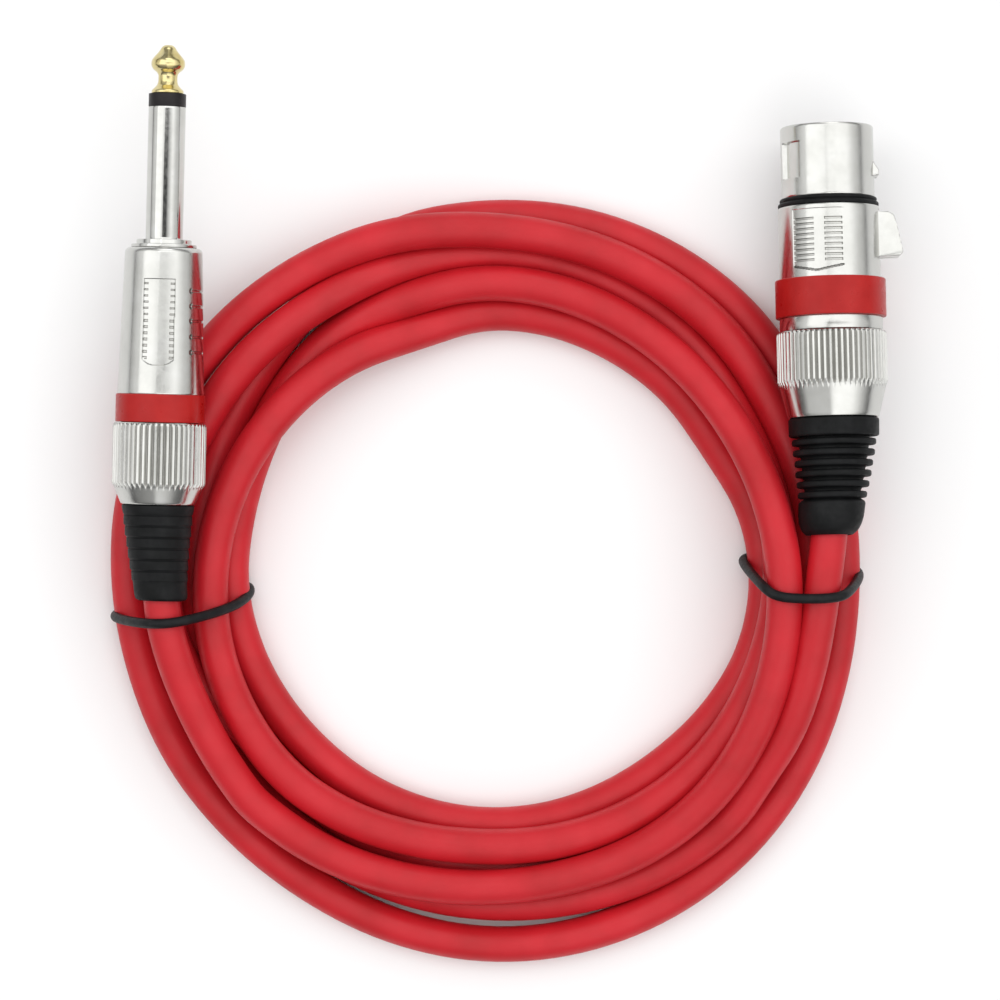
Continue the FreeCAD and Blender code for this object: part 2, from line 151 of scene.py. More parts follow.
def turned(name, place, outline, count=128, form=None, sharp=SHARP_EDGE, shift=None):
    """A closed (r, z) outline turned about a connector's axis; shift(z) bends the axis sideways."""
    bm = bmesh.new()
    bm.verts.layers.float.new("groove")
    rings = []
    for r, z in braced(outline):
        sideways = shift(z) if shift else 0.0
        if r < 1e-6:
            rings.append([bm.verts.new((place @ Vector((sideways, 0, z))) * MM)])
        else:
            rings.append(add_ring(bm, place, r, z, count, form, sideways))
    for i, ring in enumerate(rings):
        follow = rings[(i + 1) % len(rings)]
        if len(ring) == 1 and len(follow) == 1:
            continue
        for k in range(count):
            corners = [ring[k % len(ring)], ring[(k + 1) % len(ring)],
                       follow[(k + 1) % len(follow)], follow[k % len(follow)]]
            unique = list(dict.fromkeys(corners))
            if len(unique) > 2:
                bm.faces.new(unique)
    bmesh.ops.remove_doubles(bm, verts=bm.verts, dist=MERGE)
    return mesh_object(name, bm, sharp)


def cast_tube(name, place, profile, bore, form, openings=None, count=360):
    """A thick tube: (r, z) rows outside, a plain bore inside.

    openings(x, y, z), where there is one, is true where a window cuts the wall away."""
    bm = bmesh.new()
    bm.verts.layers.float.new("groove")
    outside = [add_ring(bm, place, r, z, count, form) for r, z in profile]
    inside = [add_ring(bm, place, bore, z, count) for _, z in profile]
    last = len(profile) - 1

    def is_open(j, k):
        if not openings:
            return False
        r = (profile[j][0] + profile[j + 1][0]) / 2
        z = (profile[j][1] + profile[j + 1][1]) / 2
        a = math.radians(360.0 * (k + 0.5) / count)
        return openings(r * math.sin(a), -r * math.cos(a), z)

    cut = [[is_open(j, k) for k in range(count)] for j in range(last)]
    for j in range(last):
        for k in range(count):
            if cut[j][k]:
                continue
            n = (k + 1) % count
            bm.faces.new((outside[j][k], outside[j][n], outside[j + 1][n], outside[j + 1][k]))
            bm.faces.new((inside[j][k], inside[j + 1][k], inside[j + 1][n], inside[j][n]))
            if j == 0 or cut[j - 1][k]:
                bm.faces.new((outside[j][k], inside[j][k], inside[j][n], outside[j][n]))
            if j == last - 1 or cut[j + 1][k]:
                bm.faces.new((outside[j + 1][k], outside[j + 1][n], inside[j + 1][n], inside[j + 1][k]))
            if cut[j][k - 1]:
                bm.faces.new((outside[j][k], outside[j + 1][k], inside[j + 1][k], inside[j][k]))
            if cut[j][n]:
                bm.faces.new((outside[j][n], inside[j][n], inside[j + 1][n], outside[j + 1][n]))
    bmesh.ops.remove_doubles(bm, verts=bm.verts, dist=MERGE)
    return mesh_object(name, bm)


def plate(name, place, outline, width, bevel):
    """A plate across y from (x, z) corners in a connector's frame, with bevelled edges."""
    bm = bmesh.new()
    sides = []
    for y in (-width / 2, width / 2):
        sides.append([bm.verts.new((place @ Vector((x, y, z))) * MM) for x, z in outline])
    bm.faces.new(sides[0])
    bm.faces.new(sides[1][::-1])
    for i in range(len(outline)):
        n = (i + 1) % len(outline)
        bm.faces.new((sides[0][i], sides[1][i], sides[1][n], sides[0][n]))
    bmesh.ops.bevel(bm, geom=list(bm.edges), offset=bevel * MM, segments=3, profile=0.5,
                    affect="EDGES", clamp_overlap=True)
    return mesh_object(name, bm, sharp=60.0)


def bent_bar(name, points, radius, resolution, closed=False):
    """A round bar on one smooth NURBS line, from control points in mm."""
    curve = bpy.data.curves.new(name, "CURVE")
    curve.dimensions = "3D"
    spline = curve.splines.new("NURBS")
    spline.points.add(len(points) - 1)
    for target, point in zip(spline.points, points):
        target.co = (*(Vector(point) * MM), 1)
    spline.order_u = 3
    spline.use_endpoint_u = not closed
    spline.use_cyclic_u = closed
    spline.resolution_u = resolution
    curve.bevel_depth = radius * MM
    curve.bevel_resolution = 8
    curve.use_fill_caps = not closed
    piece = bpy.data.objects.new(name, curve)
    bpy.context.scene.collection.objects.link(piece)
    return piece


# ---- materials ----
def new_material(name, colour, roughness, metallic=0.0, specular=0.5):
    """A Principled material, its plain numbers set on the shader's own sockets."""
    material = bpy.data.materials.new(name)
    material.use_nodes = True
    shader = material.node_tree.nodes["Principled BSDF"]
    shader.inputs["Base Color"].default_value = (*colour, 1)
    shader.inputs["Roughness"].default_value = roughness
    shader.inputs["Metallic"].default_value = metallic
    shader.inputs["Specular IOR Level"].default_value = specular
    return material, material.node_tree.nodes, material.node_tree.links, shader


def noise(nodes, links, scale, detail):
    """A noise pattern in the object's own space; scale is per metre."""
    place = nodes.new("ShaderNodeTexCoord")
    texture = nodes.new("ShaderNodeTexNoise")
    texture.inputs["Scale"].default_value = scale
    texture.inputs["Detail"].default_value = detail
    links.new(place.outputs["Object"], texture.inputs["Vector"])
    return texture.outputs["Fac"]


def ramp(nodes, links, source, stops):
    """A colour ramp: (position, colour or grey) stops."""
    node = nodes.new("ShaderNodeValToRGB")
    while len(node.color_ramp.elements) < len(stops):
        node.color_ramp.elements.new(0.5)
    for element, (position, value) in zip(node.color_ramp.elements, stops):
        element.position = position
        element.color = (*value, 1) if hasattr(value, "__len__") else (value, value, value, 1)
    links.new(source, node.inputs["Fac"])
    return node.outputs["Color"]


def spread(nodes, links, source, low, high, start, end):
    """Maps start..end of a source on to low..high."""
    node = nodes.new("ShaderNodeMapRange")
    node.inputs["From Min"].default_value = start
    node.inputs["From Max"].default_value = end
    node.inputs["To Min"].default_value = low
    node.inputs["To Max"].default_value = high
    links.new(source, node.inputs["Value"])
    return node.outputs["Result"]


def bumps(nodes, links, shader, layers):
    """Stacked bump layers: (height source, strength, distance in mm)."""
    normal = None
    for source, strength, distance in layers:
        node = nodes.new("ShaderNodeBump")
        node.inputs["Strength"].default_value = strength
        node.inputs["Distance"].default_value = distance * MM
        links.new(source, node.inputs["Height"])
        if normal:
            links.new(normal, node.inputs["Normal"])
        normal = node.outputs["Normal"]
    links.new(normal, shader.inputs["Normal"])


def paint_groove_shade(nodes, links, colour, shade):
    """Painted shade: mixes a dark tone in where the mesh says that a vertex lies in a groove, in place of
    the shade that falls there.
    """
    # the groove layer: how much painted shade each vertex gets
    depth = nodes.new("ShaderNodeAttribute")
    depth.attribute_name = "groove"
    mix = nodes.new("ShaderNodeMix")
    mix.data_type = "RGBA"
    links.new(depth.outputs["Fac"], mix.inputs[0])
    links.new(colour, mix.inputs[6])
    mix.inputs[7].default_value = (*shade, 1)
    return mix.outputs[2]


PATCH_STOPS = (0.3, 0.5, 0.72)       # where in the patches' noise the three colours stand
GLOSS_RANGE = (0.3, 0.7)             # the part of the scuffs' noise that the roughness runs over
SCUFFS_PER_PATCH = 3.1
WAVE_SCALE = 160.0                   # per metre


def surface(name, colours, rough, *, patch, grain, grain_depth, grain_strength=0.35, metallic=0.0,
            specular=0.5, wave=0.0, painted_groove_shade=None):
    """A finish with patches of colour, uneven gloss, a fine grain and, where a groove colour is given,
    painted shade in grooves. Scales are per metre, the depths of the grain and of the slow wave are in mm."""
    material, nodes, links, shader = new_material(name, colours[1], rough[0], metallic, specular)
    patches = noise(nodes, links, patch, 4.0)
    fine = noise(nodes, links, grain, 2.0)
    tone = ramp(nodes, links, patches, list(zip(PATCH_STOPS, colours)))
    # painted shade in the grooves, from the mesh's groove layer
    if painted_groove_shade:
        tone = paint_groove_shade(nodes, links, tone, painted_groove_shade)
    links.new(tone, shader.inputs["Base Color"])
    scuffs = noise(nodes, links, patch * SCUFFS_PER_PATCH, 5.0)
    links.new(spread(nodes, links, scuffs, *rough, *GLOSS_RANGE), shader.inputs["Roughness"])
    layers = [(fine, grain_strength, grain_depth)]
    if wave:
        layers.append((noise(nodes, links, WAVE_SCALE, 2.0), 0.5, wave))
    bumps(nodes, links, shader, layers)
    return material


FINISHES = {
    "red_pvc": dict(
        colours=[(0.46, 0.0095, 0.015), (0.53, 0.011, 0.019), (0.59, 0.014, 0.024)], rough=(0.40, 0.54),
        specular=0.34, patch=90.0, grain=1900.0, grain_depth=0.03, grain_strength=0.22, wave=0.12),
    "nickel": dict(
        colours=[(0.545, 0.545, 0.52), (0.575, 0.575, 0.55), (0.605, 0.605, 0.585)], rough=(0.15, 0.23),
        metallic=1.0, patch=260.0, grain=1500.0, grain_depth=0.010, grain_strength=0.28,
        # the colour of the painted shade in the nickel's grooves
        painted_groove_shade=(0.28, 0.275, 0.26)),
    "nickel_bright": dict(
        colours=[(0.55, 0.55, 0.525), (0.58, 0.58, 0.555), (0.61, 0.61, 0.59)], rough=(0.05, 0.10),
        metallic=1.0, patch=420.0, grain=1800.0, grain_depth=0.004, grain_strength=0.25),
    "gold": dict(
        colours=[(0.58, 0.47, 0.19), (0.67, 0.57, 0.28), (0.75, 0.66, 0.37)], rough=(0.10, 0.20),
        metallic=1.0, patch=420.0, grain=2600.0, grain_depth=0.006),
    "black_rubber": dict(
        colours=[(0.003, 0.0035, 0.0035), (0.005, 0.0055, 0.006), (0.009, 0.0095, 0.010)],
        rough=(0.48, 0.66), specular=0.18, patch=300.0, grain=2400.0, grain_depth=0.035,
        grain_strength=0.4),
    "black_band": dict(
        colours=[(0.004, 0.005, 0.006), (0.006, 0.007, 0.008), (0.012, 0.013, 0.014)], rough=(0.42, 0.58),
        specular=0.2, patch=500.0, grain=3000.0, grain_depth=0.04),
    "red_ring": dict(
        colours=[(0.37, 0.007, 0.006), (0.41, 0.009, 0.008), (0.45, 0.013, 0.011)], rough=(0.26, 0.40),
        specular=0.25, patch=240.0, grain=1300.0, grain_depth=0.01, grain_strength=0.25),
    "black_plastic": dict(
        colours=[(0.006, 0.005, 0.006), (0.010, 0.008, 0.009), (0.018, 0.015, 0.016)], rough=(0.34, 0.48),
        specular=0.25, patch=300.0, grain=2200.0, grain_depth=0.02),
    "grey_plastic": dict(
        colours=[(0.13, 0.13, 0.13), (0.17, 0.17, 0.17), (0.22, 0.22, 0.22)], rough=(0.38, 0.52),
        patch=300.0, grain=2000.0, grain_depth=0.02),
    "white_plastic": dict(
        colours=[(0.66, 0.65, 0.61), (0.74, 0.73, 0.69), (0.80, 0.79, 0.76)], rough=(0.34, 0.48),
        patch=300.0, grain=2000.0, grain_depth=0.02),
    "steel": dict(
        colours=[(0.42, 0.42, 0.43), (0.52, 0.52, 0.53), (0.60, 0.60, 0.61)], rough=(0.24, 0.40),
        metallic=1.0, patch=500.0, grain=3000.0, grain_depth=0.01),
    "copper": dict(
        colours=[(0.70, 0.30, 0.16), (0.82, 0.40, 0.24), (0.90, 0.50, 0.33)], rough=(0.22, 0.36),
        metallic=1.0, patch=600.0, grain=3000.0, grain_depth=0.01),
}
MATERIALS = {name: surface(name, **finish) for name, finish in FINISHES.items()}


def dress(piece, finish):
    """Gives a piece or a CAD node its material."""
    piece.data.materials.clear()
    piece.data.materials.append(MATERIALS[finish])


def add_piece(piece, body, slot, *nodes, finish=None):
    """A detailed piece: its finish, its body, and the CAD nodes that it stands for."""
    dress(piece, finish or slot)
    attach(piece, body)
    if nodes:
        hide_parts(*nodes)


# ---- the cable ----
# (radius, height) every 45 degrees, counter-clockwise from the jack, where the turn is 180,
# to the XLR, where it is 2160: five and a half turns that cross and lie on each other. Each row
# is half a turn.
TURN_STATIONS = [
    (54.3, 15.6), (54.7, 10.5), (52.4, 8.4), (53.0, 10.5),
    (51.3, 16.8), (50.7, 8.5), (51.9, 7.0), (48.2, 3.1),
    (43.8, 4.7), (41.5, 3.1), (42.3, 3.1), (45.3, 3.1),
    (50.2, 4.7), (47.1, 3.1), (47.3, 3.1), (45.6, 8.9),
    (46.9, 10.1), (48.0, 8.0), (45.05, 8.4), (49.3, 7.0),
    (50.9, 10.7), (55.0, 3.1), (57.1, 3.1), (55.6, 8.4),
    (55.3, 8.4), (49.0, 3.1), (49.15, 3.1), (54.5, 4.0),
    (56.4, 8.0), (60.0, 6.8), (60.4, 8.5), (62.2, 8.0),
    (61.3, 4.7), (58.8, 3.1), (63.2, 3.1), (64.2, 3.1),
    (61.6, 4.7), (64.8, 3.1), (62.9, 3.1), (52.8, 3.1),
    (50.3, 4.7), (52.8, 3.1), (55.6, 3.1), (58.8, 6.5),
    (58.3, 16.2),
]
FIRST_TURN = 180
STATIONS_PER_TURN = 8
PER_TURN = 24            # points along one turn
TIE_LIFT = 1.6           # how far the ties hold the lowest strands off the surface
TIE_REACH = 22           # degrees to each side of a tie, over which that lift dies away
ROUNDS = 500             # of moving the turns apart
LAST_ROUNDS = 40         # which only push, and no longer smooth or pull
SMOOTHING = 0.06
PULL = 0.08              # towards the stations
PUSH = 0.3               # the share of an overlap that each of two strands gives way
WAY_PUSH = 0.6           # the same for a strand in a connector's way
HELD = 3                 # points at each end of the turns that do not move
JACK_LEAD = [(-54.3, -7.3, 15.9), (-52.5, -14.0, 15.1), (-49.8, -20.8, 14.0), (-46.5, -27.6, 12.9),
             (-42.8, -33.6, 11.8)]
XLR_LEAD = [(47.8, -33.0, 9.4), (51.6, -27.0, 11.4), (54.1, -20.8, 13.2), (55.9, -14.0, 14.7),
            (57.1, -7.2, 15.9)]


def boot_bend(amount, straight_z):
    """How far sideways a boot and the cable in it bend, at a height in the connector's frame."""
    return lambda z: amount * (max(0.0, straight_z - z) / straight_z) ** 2


XLR_BEND = boot_bend(amount=-1.25, straight_z=20.0)
JACK_BEND = boot_bend(amount=0.94, straight_z=17.0)


def between_stations(stations, parts):
    """Values between the stations, on a smooth line through them."""
    p = np.array(stations)
    p = np.vstack([2 * p[0] - p[1], p, 2 * p[-1] - p[-2]])
    values = []
    for a, b, c, d in zip(p[:-3], p[1:-2], p[2:-1], p[3:]):
        for t in np.arange(parts) / parts:
            bend = (2 * a - 5 * b + 4 * c - d) * t * t + (3 * b - a - 3 * c + d) * t ** 3
            values.append((2 * b + (c - a) * t + bend) / 2)
    values.append(p[-2])
    return np.array(values)


# The ways of the connectors, with their boots drawn back: (z, r) in a connector's frame. The
# strands of the coil keep out of them.
XLR_WAY = [(-4, 6.2), (1.8, 6.4), (13.0, 8.3), (16.2, 8.4), (22.0, 10.0), (36.0, 10.0), (37.0, 9.7),
           (43.7, 9.7), (43.8, 8.8), (69.9, 8.8)]
JACK_WAY = [(-3, 4.7), (13.9, 6.6), (17.2, 8.2), (30.3, 8.2), (35.1, 7.7), (60, 6.7), (61.4, 3.3), (94, 3.3)]
OPEN = -9                # the radius of a way past its ends: nothing is kept off there


def clear_of(points, place, way):
    """How far points must move to lie outside a connector's way."""
    base = np.array(place.translation)
    along = np.array(place.col[2][:3])
    away = points - base
    z = away @ along
    off = away - np.outer(z, along)
    distance = np.linalg.norm(off, axis=1)
    way_z, way_r = zip(*way)
    need = np.interp(z, way_z, way_r, left=OPEN, right=OPEN) + CABLE_R
    short = np.maximum(need - distance, 0)
    return off / distance[:, None] * short[:, None]


def settled_turns():
    """The turns, moved apart until each lies beside or on its neighbours."""
    target = between_stations(TURN_STATIONS, PER_TURN // STATIONS_PER_TURN)
    turns = target.copy()
    step = 360 / PER_TURN
    angle = np.radians(FIRST_TURN + step * np.arange(len(turns)))
    from_tie = np.abs((np.degrees(angle) + 90) % 180 - 90)
    near_tie = np.clip(1 - from_tie / TIE_REACH, 0, 1)
    floor = CABLE_R + TIE_LIFT * near_tie * near_tie * (3 - 2 * near_tie)
    for number in range(ROUNDS):
        if number < ROUNDS - LAST_ROUNDS:
            turns[1:-1] += SMOOTHING * ((turns[:-2] + turns[2:]) / 2 - turns[1:-1])
            turns += PULL * (target - turns)
        for lag in range(PER_TURN, len(turns), PER_TURN):
            apart = turns[lag:] - turns[:-lag]
            distance = np.maximum(np.hypot(apart[:, 0], apart[:, 1]), 1e-6)
            push = np.maximum(2 * CABLE_R - distance, 0) / distance * PUSH
            turns[lag:] += apart * push[:, None]
            turns[:-lag] -= apart * push[:, None]
        turns[:, 1] = np.maximum(turns[:, 1], floor)
        points = np.c_[turns[:, 0] * np.cos(angle), turns[:, 0] * np.sin(angle), turns[:, 1]]
        moved = WAY_PUSH * (clear_of(points, XLR, XLR_WAY) + clear_of(points, JACK, JACK_WAY))
        moved[:HELD] = 0
        moved[-HELD:] = 0
        touched = np.abs(moved).sum(1) > 0
        points += moved
        turns[touched, 0] = np.hypot(points[touched, 0], points[touched, 1])
        turns[touched, 1] = points[touched, 2]
        turns[:HELD] = target[:HELD]
        turns[-HELD:] = target[-HELD:]
    outward = 1 / math.cos(math.radians(step) / 2)   # control points stand outside their curve
    return [Vector((r * outward * math.cos(a), r * outward * math.sin(a), z))
            for (r, z), a in zip(turns, angle)]


def cable_route():
    """Control points from inside the jack, round the coil, and into the XLR."""
    route = [JACK @ Vector((JACK_BEND(z), 0, z)) for z in (29.5, 18, 8, 0)]
    route += [Vector(p) for p in JACK_LEAD]
    route += settled_turns()[HELD:-HELD]
    route += [Vector(p) for p in XLR_LEAD]
    route += [XLR @ Vector((XLR_BEND(z), 0, z)) for z in (-7, 0, 8, 20, 33)]
    return route


cable = bent_bar("cable", cable_route(), CABLE_R, resolution=7)
add_piece(cable, "cable", "red_pvc", "cable_coil", "jack_lead", "xlr_lead", "xlr_cable_end",
          "jack_cable_end")

# ---- camera ----
CAMERA_PLACE = (0.00295, 0.0141, 0.700)      # metres; it looks straight down
camera_data = bpy.data.cameras.new("camera")
camera_data.sensor_width = 36.0
camera_data.lens = 144.4
camera = bpy.data.objects.new("camera", camera_data)
camera.location = CAMERA_PLACE
bpy.context.scene.collection.objects.link(camera)
bpy.context.scene.camera = camera

# ---- floor and light ----
# The floor's colour holds a painted pool of light: lighter in its middle, darker away from it.
FLOOR_SIZE = 3.0                             # metres from its middle to each side
FLOOR_POOL_FADE = (0.09, 0.40)                    # metres from its middle, over which its painted pool of light fades to darker
FLOOR_POOL_TONES = ((0.92, 0.92, 0.92), (0.60, 0.60, 0.61))

floor_mesh = bmesh.new()
bmesh.ops.create_grid(floor_mesh, x_segments=1, y_segments=1, size=FLOOR_SIZE)
floor = mesh_object("floor", floor_mesh)
floor_material, floor_nodes, floor_links, floor_shader = new_material(
    "floor", FLOOR_POOL_TONES[0], 0.6, specular=0.2)
reach = floor_nodes.new("ShaderNodeVectorMath")
reach.operation = "LENGTH"
floor_links.new(floor_nodes.new("ShaderNodeTexCoord").outputs["Object"], reach.inputs[0])
floor_pool_fade = spread(floor_nodes, floor_links, reach.outputs["Value"], 0.0, 1.0, *FLOOR_POOL_FADE)
floor_pool_tone = ramp(floor_nodes, floor_links, floor_pool_fade, list(enumerate(FLOOR_POOL_TONES)))
floor_links.new(floor_pool_tone, floor_shader.inputs["Base Color"])
floor.data.materials.append(floor_material)


def soft_light(name, place, size, power):
    """A rectangular lamp that faces the origin; place and size in metres, power in watts."""
    light = bpy.data.lights.new(name, "AREA")
    light.shape = "RECTANGLE"
    light.size, light.size_y = size
    light.energy = power
    lamp = bpy.data.objects.new(name, light)
    lamp.location = place
    lamp.rotation_mode = "QUATERNION"
    lamp.rotation_quaternion = (-Vector(place)).to_track_quat("-Z", "Y")
    bpy.context.scene.collection.objects.link(lamp)


soft_light("key", (-0.80, 0.25, 1.25), (1.2, 1.3), 4.5)
soft_light("back", (0.10, 1.2, 0.7), (0.9, 0.35), 1.5)

# The studio: a pale box. Its walls and ceiling by the angle from straight up towards +X, the fall
# to its front and rear walls by the angle towards +Y, and a dark gap in the ceiling above the camera.
ACROSS = [(-90, 0.62), (-76, 0.74), (-66, 0.95), (-57, 0.75), (-12, 0.65), (-5, 1.4), (0, 1.5), (20, 1.5),
          (45, 1.45), (56, 1.1), (66, 0.86), (76, 0.75), (90, 0.64)]
ALONG = [(-90, 0.15), (-62, 0.30), (-45, 0.70), (-30, 1.0), (32, 1.0), (52, 0.65), (90, 0.3)]
GAP_ACROSS = [(-22, 0), (-10, 1), (12, 1), (24, 0.6), (40, 0.2), (55, 0)]
GAP_ALONG = [(-1.8, 0), (-0.8, 1), (3.0, 1), (3.7, 0)]
GAP_LIGHT = 0.04                             # the share of the light that is left in the gap
STUDIO_STRENGTH = 1.14

world = bpy.data.worlds.new("studio")
bpy.context.scene.world = world
world.use_nodes = True
sky = world.node_tree
parts = sky.nodes.new("ShaderNodeSeparateXYZ")
sky.links.new(sky.nodes.new("ShaderNodeTexCoord").outputs["Generated"], parts.inputs["Vector"])


def combined(operation, first, second):
    """The result of a math node on two outputs."""
    node = sky.nodes.new("ShaderNodeMath")
    node.operation = operation
    sky.links.new(first, node.inputs[0])
    sky.links.new(second, node.inputs[1])
    return node.outputs["Value"]


def by_angle(axis, bands):
    """The tone by the angle from straight up towards a horizontal axis."""
    angle = combined("ARCTAN2", parts.outputs[axis], parts.outputs["Z"])
    share = spread(sky.nodes, sky.links, angle, 0.0, 1.0, -math.pi / 2, math.pi / 2)
    stops = [((degrees + 90) / 180, tone) for degrees, tone in bands]
    return ramp(sky.nodes, sky.links, share, stops)


gap = combined("MULTIPLY", by_angle("X", GAP_ACROSS), by_angle("Y", GAP_ALONG))
light_left = spread(sky.nodes, sky.links, gap, 1.0, GAP_LIGHT, 0.0, 1.0)
walls = combined("MULTIPLY", by_angle("X", ACROSS), by_angle("Y", ALONG))
sky.links.new(combined("MULTIPLY", walls, light_left), sky.nodes["Background"].inputs["Color"])
sky.nodes["Background"].inputs["Strength"].default_value = STUDIO_STRENGTH

bpy.context.scene.view_settings.view_transform = "Standard"


# ---- forms that both connectors share ----
RIDGE_FLATNESS = 1.35    # over 1, a knurl's ridges are flat on top
KNURL_PAINTED_SHADE = 0.8        # how much painted shade the bottom of a knurl's groove gets


def knurled(groove_r, ridge_r, count, z0, z1):
    """Grooves milled along a nut: the tapered ends run out of them in scallops."""
    def form(r, z, turn):
        if r < groove_r or not z0 <= z <= z1:
            return r, 0.0
        wave = 0.5 + 0.5 * math.cos(math.radians(turn) * count)
        cut = min(r, groove_r + (ridge_r - groove_r) * min(1.0, RIDGE_FLATNESS * wave))
        # painted shade, more towards the groove's bottom
        return cut, KNURL_PAINTED_SHADE * (r - cut) / (ridge_r - groove_r)
    return form


def rows_between(z0, z1, r0, r1, step):
    """(r, z) rows at an even step, both ends included."""
    count = max(1, round(abs(z1 - z0) / step))
    return [(r0 + (r1 - r0) * k / count, z0 + (z1 - z0) * k / count) for k in range(count + 1)]


def off_from(turn, centre):
    """Signed angle between two turns, -180 to 180."""
    return (turn - centre + 180) % 360 - 180


def rib_rows(first_z, pitch, width, radii, depth):
    """A boot's ribs, from its end forward."""
    rows = []
    for i, rib_r in enumerate(radii):
        z = first_z + i * pitch
        rows += [(rib_r - depth, z), (rib_r, z), (rib_r, z + width), (rib_r - depth, z + width)]
    return rows


def plain_ring(name, place, inner_r, outer_r, z0, z1, rounding, count=160):
    """A plain ring of rectangular section with rounded edges."""
    outline = [(inner_r, z0), (outer_r, z0), (outer_r, z1), (inner_r, z1)]
    return turned(name, place, eased(outline, rounding), count)


# ---- XLR ----
XLR_RIDGE_R = 9.4
XLR_GROOVE_R = 8.96
XLR_RIDGES = 60          # each drawn with 12 vertices
XLR_KNURL_Z = (22.5, 34.32)
xlr_nut_outline = ([(6.9, 20.1), (7.0, 20.0), (7.6, 20.0), (7.75, 20.1)]
                   + rows_between(20.3, 25.4, 7.83, 9.08, 0.34)
                   + rows_between(25.5, 26.2, 9.12, XLR_RIDGE_R, 0.1)
                   + [(XLR_RIDGE_R, 27.5), (XLR_RIDGE_R, 30), (XLR_RIDGE_R, 33.2)]
                   + rows_between(33.7, 34.3, XLR_RIDGE_R, 9.38, 0.12)
                   + [(9.27, 34.52), (9.1, 34.7), (7.6, 34.7), (7.6, 23.1), (6.9, 23.1)])
xlr_nut = turned("xlr_nut_knurled", XLR, xlr_nut_outline, 12 * XLR_RIDGES,
                 knurled(XLR_GROOVE_R, XLR_RIDGE_R, XLR_RIDGES, *XLR_KNURL_Z))
add_piece(xlr_nut, "xlr_nut", "nickel", "xlr_nut")

xlr_ribs = rib_rows(first_z=6.3, pitch=1.8, width=1.1, radii=[5.9, 6.2, 6.5, 6.7, 7.0, 7.2], depth=1.2)
xlr_boot_outline = eased(
    [(3.72, 0), (4.0, 0.05), (4.8, 0.75), (5.35, 1.9), (5.6, 3.2), (5.75, 5.6)] + xlr_ribs
    + [(6.1, 16.8), (7.7, 16.8), (7.75, 19.9), (6.8, 19.9), (6.8, 23.2), (7.5, 23.2), (7.5, 25.7),
       (6.3, 25.7), (4.9, 22.0), (3.33, 16.0)], 0.45, 4)
xlr_boot = turned("xlr_boot_ribbed", XLR, xlr_boot_outline, 128, sharp=50, shift=XLR_BEND)
add_piece(xlr_boot, "xlr_boot", "black_rubber", "xlr_boot")

XLR_SEAT_R = 8.2         # of the colour ring on the shell
XLR_RING_Z = (37.15, 43.65)
xlr_ring = plain_ring("xlr_ring_gloss", XLR, XLR_SEAT_R, 9.45, *XLR_RING_Z, rounding=0.22)
add_piece(xlr_ring, "cable", "red_ring", "xlr_colour_ring")

SEAL_SEAT_R = 7.3        # of the rubber ring's groove in the shell
SEAL_Z = (56.0, 57.6)
o_ring_outline = eased(
    [(SEAL_SEAT_R, SEAL_Z[0]), (8.4, SEAL_Z[0]), (8.6, 56.2), (8.6, 56.6), (8.4, 56.8), (8.1, 56.9),
     (8.3, 57.1), (8.3, 57.4), (8.1, SEAL_Z[1]), (SEAL_SEAT_R, SEAL_Z[1])], 0.12)
o_ring = turned("xlr_ring_rubber", XLR, o_ring_outline, 160, sharp=60)
add_piece(o_ring, "cable", "black_rubber", "xlr_o_ring")

BODY_R = 8.65            # the shell behind the rubber ring
NOSE_R = 7.95            # and in front of it
XLR_BORE_R = 6.9
PANEL_TURN = -19.0       # the grip panel's middle, in degrees
PANEL_HALF = 31.0        # and how far it reaches to each side
PANEL_Z = (45.4, 55.2)
PANEL_POINT = 0.9        # the lower edge's shallow V
PANEL_DEPTH = 0.10
GRIP_ROWS = (46.3, 53.8) # the z range of its grip lines
GRIP_PITCH = 0.88
GRIP_WIDTH = 0.28
GRIP_DEPTH = 0.42
GRIP_LEFT = (-30, -3)    # each row is a pair of lines, by the angle from the panel's middle
GRIP_RIGHT = (9, 30)
KEY_TURN = -59.0         # the key's recess in the nose: its middle, and its reach to each side
KEY_HALF = 18.5
KEY_Z = (60.8, 67.0)
KEY_FLOOR_R = 7.15
# The windows for the latch's tab and hook: half width, and z from and to.
LATCH_WINDOWS = ((2.5, 46.8, 55.5), (1.7, 60.6, 65.2))
LATCH_SIDE_X = 4         # the windows are in the wall past this x


def xlr_shell_form(r, z, turn):
    """Recesses in the cast shell: the grip panel on the body and the key's recess in the nose, with painted
    shade in the panel's grooves.
    """
    off = off_from(turn, PANEL_TURN)
    if r >= BODY_R and abs(off) < PANEL_HALF:
        low = PANEL_Z[0] - PANEL_POINT * (1 - abs(off) / PANEL_HALF)
        if low < z < PANEL_Z[1]:
            # The second value is painted shade: full in the panel's edge groove, more in the left grip lines
            # than in the right.
            if z - low < GRIP_WIDTH:
                return r - GRIP_DEPTH, 1.0
            in_row = GRIP_ROWS[0] < z < GRIP_ROWS[1] and (z - GRIP_ROWS[0]) % GRIP_PITCH < GRIP_WIDTH
            if in_row and GRIP_LEFT[0] < off < GRIP_LEFT[1]:
                return r - GRIP_DEPTH, 0.55
            if in_row and GRIP_RIGHT[0] < off < GRIP_RIGHT[1]:
                return r - GRIP_DEPTH, 0.3
            return r - PANEL_DEPTH, 0.0
    if r >= NOSE_R and abs(off_from(turn, KEY_TURN)) < KEY_HALF and KEY_Z[0] < z < KEY_Z[1]:
        return KEY_FLOOR_R, 0.0
    return r, 0.0


def xlr_openings(x, y, z):
    """Whether the wall is cut away for the latch."""
    return x >= LATCH_SIDE_X and any(abs(y) < half and z0 < z < z1 for half, z0, z1 in LATCH_WINDOWS)


